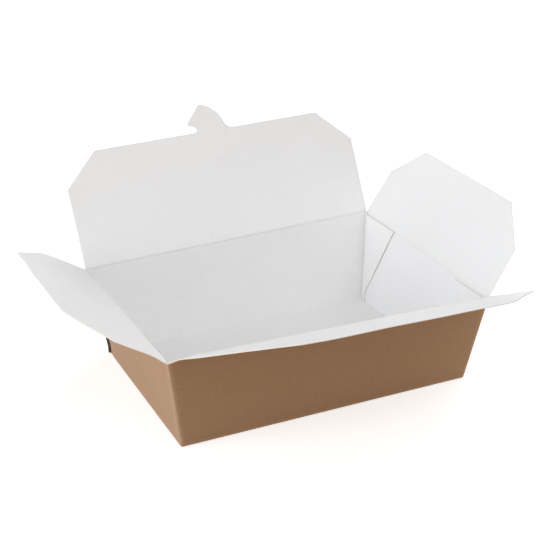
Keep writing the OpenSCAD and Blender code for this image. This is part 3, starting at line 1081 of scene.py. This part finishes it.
# %% The node tree that lays tufts along an edge
def nick_tree():
    tree = bpy.data.node_groups.new("torn_nicks", "GeometryNodeTree")
    for label, kind in (("Edge", "Geometry"), ("Spacing", "Float"), ("Size", "Float"), ("Seed", "Int"),
                        ("Finish", "Material")):
        tree.interface.new_socket(label, in_out="INPUT", socket_type="NodeSocket" + kind)
    tree.interface.new_socket("Tufts", in_out="OUTPUT", socket_type="NodeSocketGeometry")
    given = add_node(tree, "NodeGroupInput").outputs
    curve = add_node(tree, "GeometryNodeMeshToCurve", Mesh=given["Edge"])
    spots = add_node(tree, "GeometryNodeResampleCurve", {"mode": "LENGTH"}, Curve=curve.outputs[0],
                     Length=given["Spacing"])
    # A tuft is a little ball crumpled by a noise, flatter than it is long
    ball = add_node(tree, "GeometryNodeMeshIcoSphere", {"Radius": 1.0, "Subdivisions": 3})
    crumple = add_node(tree, "ShaderNodeTexNoise", {"noise_dimensions": "4D", "Scale": 1.6, "Detail": 2.0},
                       W=given["Seed"])
    centred = add_node(tree, "ShaderNodeVectorMath", {"operation": "SUBTRACT", 1: (0.5, 0.5, 0.5)},
                       i0=crumple.outputs["Color"])
    tuft = add_node(tree, "GeometryNodeSetPosition", Geometry=ball.outputs[0], Offset=centred.outputs[0])
    outside, above = (add_node(tree, "GeometryNodeInputNamedAttribute",
                               {"data_type": "FLOAT_VECTOR", "Name": key}).outputs[0]
                      for key in ("outside", "above"))
    turn = add_node(tree, "FunctionNodeAxesToRotation", {"primary_axis": "Z", "secondary_axis": "X"},
                    i0=above, i1=outside)
    size = add_node(tree, "FunctionNodeRandomValue",
                    {"data_type": "FLOAT_VECTOR", 0: (0.7, 1.2, 0.9), 1: (1.3, 2.6, 1.15)},
                    Seed=given["Seed"])
    scale = add_node(tree, "ShaderNodeVectorMath", {"operation": "SCALE"}, i0=size.outputs[0],
                     Scale=given["Size"])
    kept = add_node(tree, "FunctionNodeRandomValue", {"data_type": "BOOLEAN", "Probability": 0.75},
                    Seed=given["Seed"])
    laid = add_node(tree, "GeometryNodeInstanceOnPoints", Points=spots.outputs[0], Instance=tuft.outputs[0],
                    Selection=kept.outputs["Value"] if kept.outputs["Value"].enabled else kept.outputs[3],
                    Rotation=turn.outputs[0], Scale=scale.outputs[0])
    real = add_node(tree, "GeometryNodeRealizeInstances", Geometry=laid.outputs[0])
    dressed = add_node(tree, "GeometryNodeSetMaterial", Geometry=real.outputs[0], Material=given["Finish"])
    add_node(tree, "NodeGroupOutput", Tufts=dressed.outputs[0])
    return tree


torn_nicks = nick_tree()
print("tree", torn_nicks.name, "with", len(torn_nicks.nodes), "nodes")

# %% The free border of a flap
NICK_SPACING, NICK_SIZE, NICK_START = 31 * MM, 0.2 * MM, 6


def border_mesh(name, net):
    """The border beyond the crease as a chain of edges, with the way out of the sheet and off its face."""
    pivot, along, out, _ = flap_axes(name)
    points = np.array(net.points)
    normal = point_normals(points, net.faces)
    x, y = (points - pivot) @ along, (points - pivot) @ out
    slit = (name == "front_flap") & (abs(y - SLIT_Y) < 1) & (x > slit_a - 1) & (x < slit_b + 1)
    edges = [e for e in free_borders(net.faces) if min(y[list(e)]) > NICK_START and not slit[list(e)].any()]
    outside = np.zeros_like(points)
    for a, b in edges:
        outside[[a, b]] += np.cross(points[b] - points[a], normal[a] + normal[b])
    used = sorted({v for e in edges for v in e})
    place = {v: i for i, v in enumerate(used)}
    mesh = bpy.data.meshes.new(name + "_border")
    mesh.from_pydata((points[used] * MM).tolist(), [(place[a], place[b]) for a, b in edges], [])
    add_attribute(mesh, "outside", "FLOAT_VECTOR", outside[used])
    add_attribute(mesh, "above", "FLOAT_VECTOR", normal[used])
    return mesh


print("nicks every", NICK_SPACING / MM, "mm, from", NICK_START, "mm beyond a crease")


# %% The tufts of each flap
def lay_nicks(name, net, seed):
    """The tree's tufts along a flap's border as one plain mesh."""
    source = new_object(name + "_border", border_mesh(name, net))
    modifier = source.modifiers.new("nicks", "NODES")
    modifier.node_group = torn_nicks
    values = {"Spacing": NICK_SPACING, "Size": NICK_SIZE, "Seed": seed, "Finish": torn_pulp}
    for item in torn_nicks.interface.items_tree:
        if item.name in values:
            modifier[item.identifier] = values[item.name]
    mesh = bpy.data.meshes.new_from_object(source.evaluated_get(bpy.context.evaluated_depsgraph_get()))
    source.modifiers.remove(modifier)
    bpy.data.objects.remove(source)
    mesh.name = name + "_nicks"
    # The ball brings an empty first slot with it; only the finish stays.
    mesh.materials.clear()
    mesh.materials.append(torn_pulp)
    mesh.polygons.foreach_set("material_index", [0] * len(mesh.polygons))
    for attribute in ("outside", "above"):
        if attribute in mesh.attributes:
            mesh.attributes.remove(mesh.attributes[attribute])
    print(mesh.name, len(mesh.polygons), "faces", [m.name for m in mesh.materials])
    return new_object(mesh.name, mesh)


flap_nets = {"back_lid": lid_net, "front_flap": front_net, "left_flap": left_net, "right_flap": right_net}
nicks = {name: lay_nicks(name, net, seed) for seed, (name, net) in enumerate(flap_nets.items(), 3)}

# %% [markdown]
# ## What moves with what
# The tray's board stands for the packed tray. Each flap's board crosses its crease, and if it rode on the
# flap alone, a gap would open there. Here each flap's board is only baked in place. The span from a little
# before its crease to a little after it is worked out and printed, and the flap's tufts ride on the flap.

# %% Riding
CREASE_REACH = 1.2
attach(tray_board, "tray")
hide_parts("tray")
for name in nicks:
    pivot, along, out, _ = flap_axes(name)
    seam_points = seams[WALL_OF[name]][0]
    low = sum(seam_points) / len(seam_points) - pivot
    low = low - along * (low @ along)
    start = (pivot + unit(low) * CREASE_REACH) * MM
    end = (pivot + out * CREASE_REACH) * MM
    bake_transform(boards[name])
    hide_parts(name)
    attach(nicks[name], name)
    print(name, "blends from", [round(v, 4) for v in start], "to", [round(v, 4) for v in end])

# %% [markdown]
# ## Camera, floor and light
# The camera stands where the photograph's was, found from the box's own corners. The floor is seen by
# the camera as paper white, while it still takes the soft shadow. Five large soft lamps give the studio
# light: a low key on the left for the end wall, a weak one above it, a warm one in front that keeps the
# long wall open, and two on the right and behind for the inside of the flaps. A dim white room fills
# the rest, and none of it is so strong that the white board clips.

# %% Camera
FOCAL_PX, FRAME_PX, SENSOR = 1259.804, 550, 36.0
STAND = Vector((-0.3076929, -0.6886975, 0.3903267))
azimuth, elevation, roll = (math.radians(a) for a in (23.8258, 23.2828, -1.4093))
forward = Vector((math.sin(azimuth) * math.cos(elevation), math.cos(azimuth) * math.cos(elevation),
                  -math.sin(elevation)))
right = forward.cross(Vector((0, 0, 1))).normalized()
up = right.cross(forward)
right_rolled = right * math.cos(roll) + up * math.sin(roll)
up_rolled = -right * math.sin(roll) + up * math.cos(roll)
camera_data = bpy.data.cameras.new("camera")
camera_data.sensor_width = SENSOR
camera_data.lens = FOCAL_PX / FRAME_PX * SENSOR
camera_data.clip_start, camera_data.clip_end = 0.01, 50
camera = new_object("camera", camera_data)
turn = Matrix((right_rolled, up_rolled, -forward)).transposed().to_4x4()
camera.matrix_world = Matrix.Translation(STAND) @ turn
bpy.context.scene.camera = camera
print("camera lens", round(camera_data.lens, 2), "mm")

# %% Floor
FLOOR_SIZE = 6.0


def seen_directly(tree):
    """1 for what the camera sees, straight or in a gloss or through glass, and 0 for what lights the box."""
    path = add_node(tree, "ShaderNodeLightPath").outputs
    total = path["Is Camera Ray"]
    for other in ("Is Glossy Ray", "Is Transmission Ray"):
        total = add_node(tree, "ShaderNodeMath", {"operation": "ADD", "use_clamp": True},
                         i0=total, i1=path[other]).outputs[0]
    return total


def white_floor():
    # Matt white board as the camera sees it; what it throws back on the object is a little warm.
    material, tree = new_material("white_floor")
    seen = seen_directly(tree)
    tone = add_node(tree, "ShaderNodeMix", {"data_type": "RGBA", 6: linear("#EBD9C6"), 7: linear("#E0E3E5")},
                    i0=seen)
    # Far from the object the floor runs out into plain white.
    place = add_node(tree, "ShaderNodeTexCoord").outputs["Object"]
    away = add_node(tree, "ShaderNodeVectorMath", {"operation": "LENGTH"}, i0=place).outputs["Value"]
    level = add_node(tree, "ShaderNodeMapRange", {1: 0.2, 2: 0.9, 3: 0.58, 4: 1.0}, i0=away)
    strength = add_node(tree, "ShaderNodeMath", {"operation": "MULTIPLY"}, i0=seen, i1=level.outputs[0])
    add_shader(tree, {"Roughness": 0.9, "Specular IOR Level": 0.1, "Emission Color": (1, 1, 1, 1)},
               Base_Color=tone.outputs[2], Emission_Strength=strength.outputs[0])
    return material


floor_mesh = bpy.data.meshes.new("floor")
floor_mesh.from_pydata([(x * FLOOR_SIZE, y * FLOOR_SIZE, 0) for x, y in CORNERS], [], [(0, 1, 2, 3)])
floor_mesh.materials.append(white_floor())
floor = new_object("floor", floor_mesh)
floor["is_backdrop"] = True
print("floor", 2 * FLOOR_SIZE, "m wide")

# %% Lamps and room
AIM, LAMP_SIZE = Vector((0, 0, 0.06)), 1.4
LAMPS = [("key_left", (-2.0, -0.1, 0.5), 25.4, (0.98, 0.99, 1.0)),
         ("high_left", (-1.5, -0.1, 1.4), 6.7, (0.94, 0.98, 1.0)),
         ("front", (0.3, -1.7, 1.3), 13.8, (1.0, 0.965, 0.92)),
         ("high_right", (1.5, 0, 1.4), 7.5, (1.0, 1.0, 1.0)),
         ("back_right", (1.3, 1.3, 1.2), 12.1, (1.0, 1.0, 1.0))]
for name, place, power, colour in LAMPS:
    data = bpy.data.lights.new(name, "AREA")
    data.shape, data.size, data.energy, data.color = "DISK", LAMP_SIZE, power, colour
    lamp = new_object(name, data)
    lamp.location = place
    lamp.rotation_euler = (AIM - Vector(place)).to_track_quat("-Z", "Y").to_euler()

world = bpy.data.worlds.new("white_room")
bpy.context.scene.world = world
world.use_nodes = True
sky = world.node_tree
sky.nodes.clear()
level = add_node(sky, "ShaderNodeMapRange", {3: 0.25, 4: 1.0}, i0=seen_directly(sky))
room = add_node(sky, "ShaderNodeBackground", {"Color": (1, 1, 1, 1)}, Strength=level.outputs[0])
add_node(sky, "ShaderNodeOutputWorld", Surface=room.outputs[0])
bpy.context.scene.view_settings.view_transform = "Standard"
print("lamps:", [name for name, *_ in LAMPS])

# %% [markdown]
# ## Close the scene
# The size of the finished looks is found and printed, as that of the packed model was at the start.

# %% Sizes of the finished looks
bpy.context.view_layer.update()
looks_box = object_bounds()
({key: [list(map(float, corner)) for corner in box]
           for key, box in (("cad", cad_box), ("looks", looks_box))})
print("looks, low and high corner:", [tuple(round(v, 4) for v in c) for c in looks_box])
